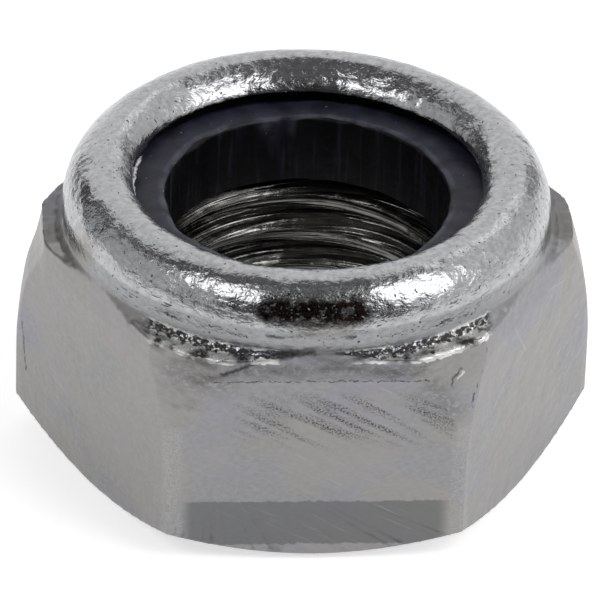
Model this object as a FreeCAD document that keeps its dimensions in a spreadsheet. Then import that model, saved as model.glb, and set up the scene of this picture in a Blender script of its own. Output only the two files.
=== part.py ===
"""Prevailing torque hexagon nut, M16 x 2, with a captive polyamide ring.

The frame: the nut stands on its bearing face at z = 0, its axis is Z, and two of its six
corners lie on the X axis, so that one flat faces -Y. Lengths are millimetres, angles degrees.
"""
import FreeCAD, Part
import math
import os
import Sketcher

# Driving sizes: name, value, what it measures
SIZES = (
    ("across_flats", 24.0, "distance between opposite flats"),
    ("collar_setback", 0.38, "side of the collar inside the flats"),
    ("collar_wall", 1.72, "wall round the ring"),
    ("ring_side_gap", 0.03, "ring to the recess wall"),
    ("ring_wall", 3.12, "ring, from its side to its bore"),
    ("ring_grip", 0.17, "ring bore inside the thread crests"),
    ("corner_rounding", 0.56, "radius along the six upright corners"),
    ("corner_stock", 0.04, "how far the round blank stands out past the rounded corners"),
    ("nut_height", 14.8, "bearing face to the top of the rolled lip"),
    ("foot_setback", 0.6, "bearing face edge inside the flats"),
    ("foot_angle", 32.0, "slope of the lower corner chamfer above the bearing face"),
    ("crown_start", 4.0, "height where the corners begin to curve inwards"),
    ("crown_radius", 24.5, "radius of that curve in a section through the axis"),
    ("band_lean", 10.5, "inward lean of the band above each flat"),
    ("neck_gap", 0.04, "neck cone inside the leaning bands"),
    ("neck_upright", 0.42, "upright wall between the neck cone and the widest height"),
    ("shelf_drop", 1.15, "corner shelves below the collar's widest height"),
    ("shelf_hollow", 0.35, "45 degree hollow between a shelf and the neck, height"),
    ("bulge_drop", 2.35, "the collar's widest height below its top"),
    ("lip_overhang", 1.39, "how far the rolled lip reaches in over the ring"),
    ("lip_rounding", 0.94, "radius over the lip's inner edge"),
    ("lip_thickness", 1.8, "lip, from its top to its underside"),
    ("lip_undercut", 0.6, "how far the lip's underside stands back from its inner edge"),
    ("foot_countersink", 1.38, "45 degree countersink at the bearing face, height"),
    ("seat_countersink", 1.1, "45 degree countersink under the ring, height"),
    ("seat_height", 9.3, "floor of the ring's recess above the bearing face"),
    ("ring_top_gap", 0.04, "ring to the underside of the lip"),
    ("ring_dish", 0.12, "fall of the ring's top face towards its bore"),
    ("ring_edge", 0.25, "45 degree bevel at the ring's upper bore edge, height"),
)

# The thread comes to 13.84 mm over its crests, as the walls between it and the flats leave it
FOLLOWING_SIZES = (
    (
        "thread_minor",
        "=across_flats - 2 * (collar_setback + collar_wall + ring_side_gap + ring_wall - ring_grip)",
        "diameter over the thread crests",
    ),
)

SIDES = 6

# Radii, from the flats inwards, as sheet expressions
FLAT_REACH = "(Sizes.across_flats / 2)"
COLLAR_RADIUS = f"({FLAT_REACH} - Sizes.collar_setback)"
RECESS_RADIUS = f"({COLLAR_RADIUS} - Sizes.collar_wall)"
LIP_OPENING = f"({RECESS_RADIUS} - Sizes.lip_overhang)"
RING_RADIUS = f"({RECESS_RADIUS} - Sizes.ring_side_gap)"
BORE_RADIUS = "(Sizes.thread_minor / 2)"
RING_BORE = f"({BORE_RADIUS} - Sizes.ring_grip)"

# Radii of the forged foot and corners
FOOT_RADIUS = f"({FLAT_REACH} - Sizes.foot_setback)"
CORNER_CENTRE = f"(({FLAT_REACH} - Sizes.corner_rounding) / cos(180 / {SIDES}))"
BLANK_RADIUS = f"({CORNER_CENTRE} + Sizes.corner_rounding + Sizes.corner_stock)"

# Heights, from the top downwards, as sheet expressions
LIP_EDGE_HEIGHT = "(Sizes.nut_height - Sizes.lip_rounding)"
LIP_UNDERSIDE = "(Sizes.nut_height - Sizes.lip_thickness)"
RING_TOP = f"({LIP_UNDERSIDE} - Sizes.ring_top_gap)"
RING_EDGE_HEIGHT = f"({RING_TOP} - Sizes.ring_dish)"
BULGE_HEIGHT = "(Sizes.nut_height - Sizes.bulge_drop)"
NECK_TOP = f"({BULGE_HEIGHT} - Sizes.neck_upright)"
BAND_HEIGHT = "((Sizes.collar_setback - Sizes.neck_gap) / tan(Sizes.band_lean))"
CREASE_HEIGHT = f"({NECK_TOP} - {BAND_HEIGHT})"
SHELF_HEIGHT = f"({BULGE_HEIGHT} - Sizes.shelf_drop)"
NECK_FOOT = f"({SHELF_HEIGHT} + Sizes.shelf_hollow)"
NECK_FOOT_RADIUS = f"({COLLAR_RADIUS} + ({NECK_TOP} - {NECK_FOOT}) * tan(Sizes.band_lean))"
FOOT_EDGE = f"(({BLANK_RADIUS} - {FOOT_RADIUS}) * tan(Sizes.foot_angle))"

# How far the cuts run past the blank, in blank radii
CUT_REACH = 1.5

# How a sketch numbers an edge's start, end and centre, and its own origin
START, END, CENTRE = range(1, 4)
ORIGIN = -1


def fill_sheet(document):
    """Put the sizes in the document's sheet, one row each."""
    sheet = document.addObject("Spreadsheet::Sheet", "Sizes")
    for row, (name, value, meaning) in enumerate(SIZES + FOLLOWING_SIZES, start=1):
        sheet.set(f"A{row}", name)
        sheet.set(f"B{row}", str(value))
        sheet.set(f"C{row}", meaning)
        sheet.setAlias(f"B{row}", name)
    document.recompute()
    return sheet


def origin_part(body, role):
    """The body's own origin plane or axis with this role."""
    return next(item for item in body.Origin.OriginFeatures if item.Role == role)


class Outline:
    """A closed outline in one of the body's planes. Upright, y is the height above the face."""

    def __init__(self, body, name, plane_role):
        self.sketch = body.newObject("Sketcher::SketchObject", name)
        self.sketch.AttachmentSupport = [(origin_part(body, plane_role), "")]
        self.sketch.MapMode = "FlatFace"
        self.edges = []

    def value(self, expression):
        """The present value of an expression in the sheet's sizes."""
        return float(self.sketch.evalExpression(expression))

    def point(self, across, height):
        return FreeCAD.Vector(self.value(str(across)), self.value(str(height)), 0)

    def line(self, start, end):
        """Add a straight edge between two points; returns its number in the sketch."""
        index = self.sketch.addGeometry(Part.LineSegment(start, end), False)
        self.edges.append((index, START, END))
        return index

    def arc(self, centre, start, end, clockwise=False):
        """Add an arc from start to end about centre; returns its number in the sketch."""
        angles = [math.atan2(item.y - centre.y, item.x - centre.x) for item in (start, end)]
        first, last = reversed(angles) if clockwise else angles
        if last < first:
            last += 2 * math.pi
        circle = Part.Circle(centre, FreeCAD.Vector(0, 0, 1), (start - centre).Length)
        index = self.sketch.addGeometry(Part.ArcOfCircle(circle, first, last), False)
        ends = (END, START) if clockwise else (START, END)
        self.edges.append((index, *ends))
        return index

    def close(self, smooth=()):
        """Join each edge's end to the next edge's start, tangent after the smooth edges."""
        following = self.edges[1:] + self.edges[:1]
        for (edge, _, end), (next_edge, start, _) in zip(self.edges, following):
            self.relate("Tangent" if edge in smooth else "Coincident", edge, end, next_edge, start)

    def fix(self, name, edge, vertex, across=None, height=None):
        """Hold a vertex at its two distances from the origin, bound to the sheet."""
        for kind, suffix, expression in (("DistanceX", "across", across), ("DistanceY", "height", height)):
            if expression is None:
                continue
            amount = self.value(str(expression))
            number = self.sketch.addConstraint(
                Sketcher.Constraint(kind, ORIGIN, 1, edge, vertex, amount)
            )
            label = f"{name}_{suffix}"
            self.sketch.renameConstraint(number, label)
            self.sketch.setExpression(f"Constraints.{label}", str(expression))

    def measure(self, kind, name, references, expression):
        """Add a named size, such as a radius or an angle, bound to the sheet."""
        amount = self.value(expression)
        if kind == "Angle":
            amount = math.radians(amount)
        number = self.sketch.addConstraint(Sketcher.Constraint(kind, *references, amount))
        self.sketch.renameConstraint(number, name)
        self.sketch.setExpression(f"Constraints.{name}", expression)

    def relate(self, kind, *references):
        """Add a relation without a size, such as Horizontal or Tangent."""
        self.sketch.addConstraint(Sketcher.Constraint(kind, *references))


def blank_outline(body):
    """Section of the forged blank: foot, crowned corners, shelf, neck, collar, lip, recess, bore."""
    outline = Outline(body, "BlankSection", "XZ_Plane")
    value, point = outline.value, outline.point

    foot = point(FOOT_RADIUS, 0)
    foot_edge = point(BLANK_RADIUS, FOOT_EDGE)
    crown_foot = point(BLANK_RADIUS, "Sizes.crown_start")
    crown = value("Sizes.crown_radius")
    crown_centre = crown_foot - FreeCAD.Vector(crown, 0, 0)
    rise = value(SHELF_HEIGHT) - crown_foot.y
    ridge = crown_centre + FreeCAD.Vector(math.sqrt(crown ** 2 - rise ** 2), rise, 0)
    shelf_end = point(f"{NECK_FOOT_RADIUS} + Sizes.shelf_hollow", SHELF_HEIGHT)
    neck_foot = point(NECK_FOOT_RADIUS, NECK_FOOT)
    neck_top = point(COLLAR_RADIUS, NECK_TOP)

    bulge = point(COLLAR_RADIUS, BULGE_HEIGHT)
    lip = value("Sizes.lip_rounding")
    lip_edge = point(LIP_OPENING, LIP_EDGE_HEIGHT)
    lip_centre = lip_edge + FreeCAD.Vector(lip, 0, 0)
    reach, drop = bulge.x - lip_centre.x, lip_centre.y - bulge.y
    shoulder = (reach ** 2 + drop ** 2 - lip ** 2) / (2 * (reach - lip))
    shoulder_centre = bulge - FreeCAD.Vector(shoulder, 0, 0)
    away = lip_centre - shoulder_centre
    crest = lip_centre + away * (lip / away.Length)
    lip_under = point(f"{LIP_OPENING} + Sizes.lip_undercut", LIP_UNDERSIDE)

    recess_top = point(RECESS_RADIUS, LIP_UNDERSIDE)
    recess_floor = point(RECESS_RADIUS, "Sizes.seat_height")
    seat_mouth = point(f"{BORE_RADIUS} + Sizes.seat_countersink", "Sizes.seat_height")
    bore_top = point(BORE_RADIUS, "Sizes.seat_height - Sizes.seat_countersink")
    bore_foot = point(BORE_RADIUS, "Sizes.foot_countersink")
    foot_mouth = point(f"{BORE_RADIUS} + Sizes.foot_countersink", 0)

    chamfer = outline.line(foot, foot_edge)
    side = outline.line(foot_edge, crown_foot)
    crown_arc = outline.arc(crown_centre, crown_foot, ridge)
    shelf = outline.line(ridge, shelf_end)
    hollow = outline.line(shelf_end, neck_foot)
    neck = outline.line(neck_foot, neck_top)
    wall = outline.line(neck_top, bulge)
    shoulder_arc = outline.arc(shoulder_centre, bulge, crest)
    lip_arc = outline.arc(lip_centre, crest, lip_edge)
    lip_end = outline.line(lip_edge, lip_under)
    underside = outline.line(lip_under, recess_top)
    recess = outline.line(recess_top, recess_floor)
    floor = outline.line(recess_floor, seat_mouth)
    seat_cone = outline.line(seat_mouth, bore_top)
    bore = outline.line(bore_top, bore_foot)
    foot_cone = outline.line(bore_foot, foot_mouth)
    face = outline.line(foot_mouth, foot)
    outline.close(smooth=(side, wall, shoulder_arc))

    for edge in (shelf, underside, floor, face):
        outline.relate("Horizontal", edge)
    for edge in (side, wall, recess, bore):
        outline.relate("Vertical", edge)
    outline.relate("Horizontal", lip_arc, END, lip_arc, CENTRE)

    outline.fix("foot", chamfer, START, FOOT_RADIUS, 0)
    outline.measure("Angle", "foot_slope", (chamfer, START, face, END), "180 - Sizes.foot_angle")
    outline.fix("blank", side, START, BLANK_RADIUS)
    outline.fix("crown_foot", side, END, None, "Sizes.crown_start")
    outline.measure("Radius", "crown", (crown_arc,), "Sizes.crown_radius")
    outline.fix("shelf", hollow, START, f"{NECK_FOOT_RADIUS} + Sizes.shelf_hollow", SHELF_HEIGHT)
    outline.fix("neck_foot", neck, START, NECK_FOOT_RADIUS, NECK_FOOT)
    outline.fix("neck_top", neck, END, COLLAR_RADIUS, NECK_TOP)
    outline.fix("bulge", wall, END, None, BULGE_HEIGHT)
    outline.fix("lip_edge", lip_end, START, LIP_OPENING, LIP_EDGE_HEIGHT)
    outline.measure("Radius", "lip", (lip_arc,), "Sizes.lip_rounding")
    outline.fix("lip_under", lip_end, END, f"{LIP_OPENING} + Sizes.lip_undercut", LIP_UNDERSIDE)
    outline.fix("recess", recess, END, RECESS_RADIUS, "Sizes.seat_height")
    outline.fix("seat_mouth", seat_cone, START, f"{BORE_RADIUS} + Sizes.seat_countersink")
    outline.fix("bore_top", bore, START, BORE_RADIUS, "Sizes.seat_height - Sizes.seat_countersink")
    outline.fix("bore_foot", bore, END, None, "Sizes.foot_countersink")
    outline.fix("foot_mouth", face, START, f"{BORE_RADIUS} + Sizes.foot_countersink")
    return outline.sketch


def hexagon_outline(body):
    """The hexagon with rounded corners, inside a circle that clears the blank."""
    outline = Outline(body, "HexagonPlan", "XY_Plane")
    rounding = outline.value("Sizes.corner_rounding")
    steps = [360 / SIDES * number for number in range(SIDES)]
    centres = [
        (f"({CORNER_CENTRE} * cos({step}))", f"({CORNER_CENTRE} * sin({step}))") for step in steps
    ]
    half_turn = math.radians(180 / SIDES)
    ends = []
    for step, (across, along) in zip(steps, centres):
        centre, middle = outline.point(across, along), math.radians(step)
        ends.append([
            centre + FreeCAD.Vector(math.cos(angle), math.sin(angle), 0) * rounding
            for angle in (middle - half_turn, middle + half_turn)
        ])
    corners = []
    for number, (across, along) in enumerate(centres):
        start, end = ends[number]
        corners.append(outline.arc(outline.point(across, along), start, end))
        outline.line(end, ends[(number + 1) % SIDES][0])
    outline.close(smooth=[edge for edge, _, _ in outline.edges])
    for number, (corner, (across, along)) in enumerate(zip(corners, centres)):
        outline.fix(f"corner_{number}", corner, CENTRE, across, along)
    outline.measure("Radius", "corner", (corners[0],), "Sizes.corner_rounding")
    for corner in corners[1:]:
        outline.relate("Equal", corners[0], corner)

    reach = f"{CUT_REACH} * {BLANK_RADIUS}"
    upwards = FreeCAD.Vector(0, 0, 1)
    rim = outline.sketch.addGeometry(
        Part.Circle(FreeCAD.Vector(), upwards, outline.value(reach)), False
    )
    outline.relate("Coincident", rim, CENTRE, ORIGIN, 1)
    outline.measure("Radius", "rim", (rim,), reach)
    return outline.sketch


def band_outline(body):
    """What leans inwards above one flat: a wedge outside the band, from the crease to the neck."""
    outline = Outline(body, "BandSection", "YZ_Plane")
    beyond = f"(-{CUT_REACH} * {BLANK_RADIUS})"
    band_top = f"(-({COLLAR_RADIUS} + Sizes.neck_gap))"

    outer_foot = outline.point(beyond, CREASE_HEIGHT)
    crease = outline.point(f"-{FLAT_REACH}", CREASE_HEIGHT)
    top = outline.point(band_top, NECK_TOP)
    outer_top = outline.point(beyond, NECK_TOP)

    foot_edge = outline.line(outer_foot, crease)
    band = outline.line(crease, top)
    top_edge = outline.line(top, outer_top)
    outer_edge = outline.line(outer_top, outer_foot)
    outline.close()

    outline.relate("Horizontal", foot_edge)
    outline.relate("Horizontal", top_edge)
    outline.relate("Vertical", outer_edge)
    outline.fix("beyond", outer_edge, START, beyond)
    outline.fix("crease", band, START, f"-{FLAT_REACH}", CREASE_HEIGHT)
    outline.fix("band_top", band, END, band_top, NECK_TOP)
    return outline.sketch


def ring_outline(body):
    """Section of the polyamide ring as it sits under the lip."""
    outline = Outline(body, "RingSection", "XZ_Plane")
    places = {
        "floor_inner": (RING_BORE, "Sizes.seat_height"),
        "floor_outer": (RING_RADIUS, "Sizes.seat_height"),
        "top_outer": (RING_RADIUS, RING_TOP),
        "top_inner": (f"{RING_BORE} + Sizes.ring_edge", RING_EDGE_HEIGHT),
        "bore_top": (RING_BORE, f"{RING_EDGE_HEIGHT} - Sizes.ring_edge"),
    }
    corners = [outline.point(*place) for place in places.values()]
    edges = [outline.line(start, end) for start, end in zip(corners, corners[1:] + corners[:1])]
    outline.close()
    for edge, (name, place) in zip(edges, places.items()):
        outline.fix(name, edge, START, *place)
    return outline.sketch


def turn(body, name, sketch):
    """Turn a section through a full circle about the vertical axis."""
    feature = body.newObject("PartDesign::Revolution", name)
    feature.Profile = sketch
    feature.ReferenceAxis = (sketch, ["V_Axis"])
    feature.Angle = 360
    body.Document.recompute()
    return feature


def cut(body, name, sketch, length, both_ways=False):
    """Pocket a sketch's area out of the body, and make sure that it took something away."""
    before = body.Shape.Volume
    pocket = body.newObject("PartDesign::Pocket", name)
    pocket.Profile = sketch
    pocket.Type = "Length"
    pocket.SideType = "Symmetric" if both_ways else "One side"
    pocket.Reversed = not both_ways
    pocket.setExpression("Length", length)
    body.Document.recompute()
    if not pocket.Shape.Volume < before:
        raise RuntimeError(f"{name} cuts nothing")
    return pocket


def repeat_round(body, name, feature):
    """Repeat a feature once for each side of the hexagon."""
    pattern = body.newObject("PartDesign::PolarPattern", name)
    pattern.Originals = [feature]
    pattern.Axis = (origin_part(body, "Z_Axis"), [""])
    pattern.Angle = 360
    pattern.Occurrences = SIDES
    body.Tip = pattern
    body.Document.recompute()
    return pattern


def build_nut_body(document):
    """The steel nut, one forging: a round blank with its collar, pressed to a hexagon."""
    body = document.addObject("PartDesign::Body", "NutBody")
    body.Label = "nut_body"
    turn(body, "Blank", blank_outline(body))
    cut(body, "Hexagon", hexagon_outline(body), CREASE_HEIGHT)
    span = f"2 * {CUT_REACH} * {BLANK_RADIUS}"
    band = cut(body, "Band", band_outline(body), span, both_ways=True)
    repeat_round(body, "SixBands", band)
    body.Placement = FreeCAD.Placement()
    return body


def build_nylon_insert(document):
    """The polyamide ring, trapped between the recess floor and the rolled lip."""
    body = document.addObject("PartDesign::Body", "NylonInsert")
    body.Label = "nylon_insert"
    turn(body, "Ring", ring_outline(body))
    body.Placement = FreeCAD.Placement()
    return body


def check(document, bodies):
    """Stop before anything is written if a feature failed or a solid is not sound."""
    for item in document.Objects:
        if {"Invalid", "Error"} & set(item.State):
            raise RuntimeError(f"{item.Name} failed: {item.State}")
        if item.isDerivedFrom("Sketcher::SketchObject") and not item.FullyConstrained:
            raise RuntimeError(f"{item.Name} is not fully constrained")
    for body in bodies:
        shape = body.Shape
        if shape.isNull() or not shape.isValid() or len(shape.Solids) != 1:
            raise RuntimeError(f"{body.Label} is not one sound solid")


def main():
    document = FreeCAD.newDocument("InsertLockNut")
    fill_sheet(document)
    bodies = [build_nut_body(document), build_nylon_insert(document)]
    document.recompute()
    check(document, bodies)
    os.makedirs("parts", exist_ok=True)
    for body in bodies:
        body.Shape.exportStep(f"parts/{body.Label}.step")
        box = body.Shape.BoundBox
        print(
            body.Label, "volume", round(body.Shape.Volume, 2),
            "X", round(box.XMin, 3), round(box.XMax, 3),
            "Y", round(box.YMin, 3), round(box.YMax, 3),
            "Z", round(box.ZMin, 3), round(box.ZMax, 3),
        )


main()
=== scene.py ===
"""Looks of a prevailing torque hexagon nut, M16 x 2, with a captive polyamide ring.

The nut stands on its bearing face at z = 0, its axis is Z, and one flat faces -Y. Sizes are
written in millimetres and degrees. Pieces are shaped in millimetres and shrunk to metres last.
"""
from __future__ import annotations

import logging
import math
from dataclasses import dataclass, field
from enum import Enum
from typing import Callable

import bmesh
import bpy
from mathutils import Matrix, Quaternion, Vector


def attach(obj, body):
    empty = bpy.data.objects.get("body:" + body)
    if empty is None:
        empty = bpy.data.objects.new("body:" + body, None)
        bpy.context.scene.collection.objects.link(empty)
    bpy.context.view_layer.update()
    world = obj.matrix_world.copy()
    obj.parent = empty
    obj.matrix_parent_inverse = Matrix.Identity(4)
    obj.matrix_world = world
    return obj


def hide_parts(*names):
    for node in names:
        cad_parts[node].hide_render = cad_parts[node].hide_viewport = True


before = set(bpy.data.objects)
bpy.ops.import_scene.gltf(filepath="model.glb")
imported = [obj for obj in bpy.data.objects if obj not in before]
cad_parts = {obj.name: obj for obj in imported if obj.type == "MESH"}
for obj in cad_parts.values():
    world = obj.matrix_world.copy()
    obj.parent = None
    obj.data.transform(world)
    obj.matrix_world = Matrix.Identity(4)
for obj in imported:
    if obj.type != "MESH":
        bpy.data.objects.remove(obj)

MM = 0.001
ROOT = "root"
FULL_TURN = 2 * math.pi
# Half of the angle that one flat takes up round the axis
HALF_FLAT = math.pi / 6
# Vertices closer than this many millimetres become one
WELD = 0.0005
PHOTO_SENSOR = 36.0

Point = tuple[float, float]
Span = tuple[float, float]
Place = tuple[float, float, float]
Amounts = dict[str, bpy.types.NodeSocket]
log = logging.getLogger("lock_nut")


class Cut(Enum):
    """How one solid is cut by another."""

    KEEP_INSIDE = "INTERSECT"
    TAKE_AWAY = "DIFFERENCE"


# Small tools


def linear(hex_code: str) -> tuple[float, float, float, float]:
    """Turn an sRGB hex colour to the linear values that a shader takes.

    Args:
        hex_code: six hex digits, such as "b9babd".

    Returns:
        Linear red, green, blue and an alpha of 1.
    """
    channels = [int(hex_code[start:start + 2], 16) / 255 for start in (0, 2, 4)]
    red, green, blue = [
        value / 12.92 if value <= 0.04045 else ((value + 0.055) / 1.055) ** 2.4 for value in channels
    ]
    return red, green, blue, 1.0


def add_node(tree: bpy.types.NodeTree, kind: str, inputs: dict | None = None, **settings) -> bpy.types.Node:
    """Add a node with its settings and links.

    Args:
        tree: the node tree that gets the node.
        kind: the node's type name.
        inputs: by input name or number, a value to set or an output socket to link.
        **settings: properties of the node itself.

    Returns:
        The new node.
    """
    node = tree.nodes.new(kind)
    for name, value in settings.items():
        setattr(node, name, value)
    for key, value in (inputs or {}).items():
        if isinstance(value, bpy.types.NodeSocket):
            tree.links.new(value, node.inputs[key])
        else:
            node.inputs[key].default_value = value
    return node


def deselect_all() -> None:
    """Leave nothing selected, so that an operator acts on the new piece alone."""
    if bpy.context.object and bpy.context.object.mode != "OBJECT":
        bpy.ops.object.mode_set(mode="OBJECT")
    bpy.ops.object.select_all(action="DESELECT")


def make_active(piece: bpy.types.Object) -> None:
    """Select one piece alone and make it the active one.

    Args:
        piece: the piece that operators act on next.
    """
    deselect_all()
    piece.select_set(True)
    bpy.context.view_layer.objects.active = piece


def apply_modifier(piece: bpy.types.Object, kind: str, **settings) -> None:
    """Add a modifier with its settings and apply it at once.

    Args:
        piece: the piece that is changed.
        kind: the modifier's type name.
        **settings: properties of the modifier.
    """
    make_active(piece)
    modifier = piece.modifiers.new(kind.title(), kind)
    for name, value in settings.items():
        setattr(modifier, name, value)
    bpy.ops.object.modifier_apply(modifier=modifier.name)


def arc(centre: Point, radius: float, start: float, end: float, steps: int) -> list[Point]:
    """Points along an arc of a section, its two ends among them.

    Args:
        centre: radius and height of the arc's centre.
        radius: the arc's own radius.
        start: angle of the first point above the outward direction, in degrees.
        end: angle of the last point.
        steps: how many straight pieces the arc is drawn with.

    Returns:
        The points as (radius, height).
    """
    angles = [math.radians(start + (end - start) * step / steps) for step in range(steps + 1)]
    return [(centre[0] + radius * math.cos(angle), centre[1] + radius * math.sin(angle)) for angle in angles]


def draw_section(name: str, points: list[Point]) -> bpy.types.Object:
    """Draw a closed section as a wire in the XZ plane.

    Args:
        name: the new piece's name.
        points: the section's corners as (radius, height), in order.

    Returns:
        The wire, a circle primitive whose vertices stand on the points.
    """
    deselect_all()
    bpy.ops.mesh.primitive_circle_add(vertices=len(points), radius=1)
    piece = bpy.context.object
    piece.name = name
    for vertex, (radius, height) in zip(piece.data.vertices, points):
        vertex.co = (radius, 0, height)
    return piece


def turn_section(piece: bpy.types.Object, steps: int) -> None:
    """Turn a closed section round the Z axis to a solid of revolution.

    Args:
        piece: the wire, which becomes the solid.
        steps: how many steps the full turn takes.
    """
    make_active(piece)
    bpy.ops.object.mode_set(mode="EDIT")
    bpy.ops.mesh.select_all(action="SELECT")
    bpy.ops.mesh.spin(steps=steps, angle=FULL_TURN, center=(0, 0, 0), axis=(0, 0, 1))
    bpy.ops.mesh.select_all(action="SELECT")
    bpy.ops.mesh.remove_doubles(threshold=WELD)
    bpy.ops.mesh.normals_make_consistent(inside=False)
    bpy.ops.object.mode_set(mode="OBJECT")


def cut_with(piece: bpy.types.Object, cutter: bpy.types.Object, cut: Cut) -> None:
    """Cut a piece with another solid, which is deleted after.

    Args:
        piece: the piece that is cut.
        cutter: the solid that cuts it.
        cut: whether the inside of the cutter is kept or taken away.
    """
    apply_modifier(piece, "BOOLEAN", object=cutter, operation=cut.value, solver="MANIFOLD")
    bpy.data.objects.remove(cutter, do_unlink=True)


def mark_places(piece: bpy.types.Object, name: str, weight: Callable[[Vector], float]) -> None:
    """Weigh each vertex by its place, for a modifier that acts on a part of the piece.

    Args:
        piece: the piece whose vertices are weighed.
        name: the vertex group's name.
        weight: gives 0 to 1 for a place in millimetres.
    """
    group = piece.vertex_groups.new(name=name)
    for vertex in piece.data.vertices:
        amount = weight(vertex.co)
        if amount > 0:
            group.add([vertex.index], min(1.0, amount), "REPLACE")


def roughen(piece: bpy.types.Object, group: str, grain: float, height: float, depth: int = 2) -> None:
    """Raise and sink a marked part of the surface by a soft irregular pattern.

    Args:
        piece: the piece that is changed.
        group: the vertex group that says where and how much.
        grain: size of one swell, in millimetres.
        height: from the lowest to the highest place, in millimetres.
        depth: how many finer patterns are laid over the first.
    """
    texture = bpy.data.textures.new(group, "CLOUDS")
    texture.noise_scale = grain
    texture.noise_depth = depth
    apply_modifier(
        piece, "DISPLACE", texture=texture, texture_coords="LOCAL", vertex_group=group,
        strength=height, mid_level=0.5,
    )


def smooth_step(value: float, low: float, high: float) -> float:
    """Rise from 0 at low to 1 at high without a corner, or fall where low is above high."""
    share = min(1.0, max(0.0, (value - low) / (high - low)))
    return share * share * (3 - 2 * share)


def shrink_to_metres(piece: bpy.types.Object) -> None:
    """Bring a piece that was shaped in millimetres to metres, in its mesh.

    Args:
        piece: the piece, which ends at the origin and unscaled.
    """
    make_active(piece)
    piece.scale = (MM, MM, MM)
    bpy.ops.object.transform_apply(location=True, rotation=True, scale=True)


def settle(
    piece: bpy.types.Object, node: str, material: bpy.types.Material, crease: float
) -> None:
    """Give a shaped piece its size in metres, its finish and its place in the frame.

    Args:
        piece: the shaped piece.
        node: the solid that it stands for.
        material: the finish.
        crease: edges turned by more than this many degrees stay sharp.
    """
    shrink_to_metres(piece)
    piece.data.materials.clear()
    piece.data.materials.append(material)
    make_active(piece)
    bpy.ops.object.shade_smooth_by_angle(angle=math.radians(crease), keep_sharp_edges=False)
    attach(piece, ROOT)
    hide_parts(node)


# Patterns in a surface


@dataclass(frozen=True)
class Spot:
    """Where on its piece a point of the surface lies, in millimetres, as a material works it out."""

    tree: bpy.types.NodeTree
    place: bpy.types.NodeSocket
    across: bpy.types.NodeSocket
    inward: bpy.types.NodeSocket
    height: bpy.types.NodeSocket
    radius: bpy.types.NodeSocket

    @classmethod
    def on_piece(cls, tree: bpy.types.NodeTree) -> Spot:
        """Add the spot's nodes, on Object coordinates.

        Args:
            tree: the material's nodes.

        Returns:
            The place, its X, Y and Z, and how far it lies from the nut's axis.
        """
        metres = add_node(tree, "ShaderNodeTexCoord").outputs["Object"]
        place = add_node(
            tree, "ShaderNodeVectorMath", {0: metres, "Scale": 1 / MM}, operation="SCALE"
        ).outputs[0]
        axes = add_node(tree, "ShaderNodeSeparateXYZ", {0: place}).outputs
        level = add_node(
            tree, "ShaderNodeVectorMath", {0: place, 1: (1, 1, 0)}, operation="MULTIPLY"
        ).outputs[0]
        radius = add_node(tree, "ShaderNodeVectorMath", {0: level}, operation="LENGTH").outputs["Value"]
        return cls(tree, place, axes["X"], axes["Y"], axes["Z"], radius)


@dataclass(frozen=True)
class Mottling:
    """An irregular pattern over the piece, from 0 to 1.

    Its grain is the size of one patch along X, Y and Z in millimetres, before it is turned.
    """

    grain: Place
    low: float
    high: float
    detail: float = 2.0
    turned: float = 0.0

    def add(self, tree: bpy.types.NodeTree, place: bpy.types.NodeSocket) -> bpy.types.NodeSocket:
        """Add the pattern's nodes.

        Args:
            tree: the material's nodes.
            place: the place on the piece in millimetres.

        Returns:
            The pattern's amount.
        """
        spread = add_node(
            tree, "ShaderNodeMapping",
            {"Vector": place, "Rotation": (0, math.radians(self.turned), 0), "Scale": self.grain},
            vector_type="TEXTURE",
        ).outputs[0]
        noise = add_node(
            tree, "ShaderNodeTexNoise", {"Vector": spread, "Scale": 1.0, "Detail": self.detail}
        ).outputs["Fac"]
        return add_node(
            tree, "ShaderNodeMapRange",
            {"Value": noise, "From Min": self.low, "From Max": self.high}, interpolation_type="SMOOTHSTEP",
        ).outputs["Result"]


@dataclass(frozen=True)
class Zone:
    """A span of a height, a radius or a slope, with soft ends."""

    low: float
    high: float
    fade: float

    def add(self, tree: bpy.types.NodeTree, value: bpy.types.NodeSocket) -> bpy.types.NodeSocket:
        """Add the zone's nodes.

        Args:
            tree: the material's nodes.
            value: what the zone is a span of.

        Returns:
            1 inside the zone, 0 outside.
        """
        above, below = [
            add_node(
                tree, "ShaderNodeMapRange", {"Value": value, "From Min": outer, "From Max": inner},
                interpolation_type="SMOOTHSTEP",
            ).outputs["Result"]
            for outer, inner in ((self.low - self.fade, self.low), (self.high + self.fade, self.high))
        ]
        return add_node(tree, "ShaderNodeMath", {0: above, 1: below}, operation="MULTIPLY").outputs[0]


@dataclass(frozen=True)
class Stroke:
    """A crack, a tick or a smear along a straight line on the surface, in millimetres."""

    start: Place
    end: Place
    width: float

    def add(self, tree: bpy.types.NodeTree, place: bpy.types.NodeSocket) -> bpy.types.NodeSocket:
        """Add the stroke's nodes.

        Args:
            tree: the material's nodes.
            place: the place on the piece in millimetres.

        Returns:
            1 on the stroke, 0 off it.
        """
        way = Vector(self.end) - Vector(self.start)
        away = add_node(
            tree, "ShaderNodeVectorMath", {0: place, 1: self.start}, operation="SUBTRACT"
        ).outputs[0]
        share = add_node(
            tree, "ShaderNodeVectorMath", {0: away, 1: way / way.length_squared}, operation="DOT_PRODUCT"
        ).outputs["Value"]
        held = add_node(tree, "ShaderNodeClamp", {"Value": share}).outputs[0]
        reached = add_node(
            tree, "ShaderNodeVectorMath", {0: way, "Scale": held}, operation="SCALE"
        ).outputs[0]
        apart = add_node(
            tree, "ShaderNodeVectorMath", {0: away, 1: reached}, operation="DISTANCE"
        ).outputs["Value"]
        return add_node(
            tree, "ShaderNodeMapRange", {"Value": apart, "From Min": self.width, "From Max": 0.0}
        ).outputs["Result"]


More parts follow.
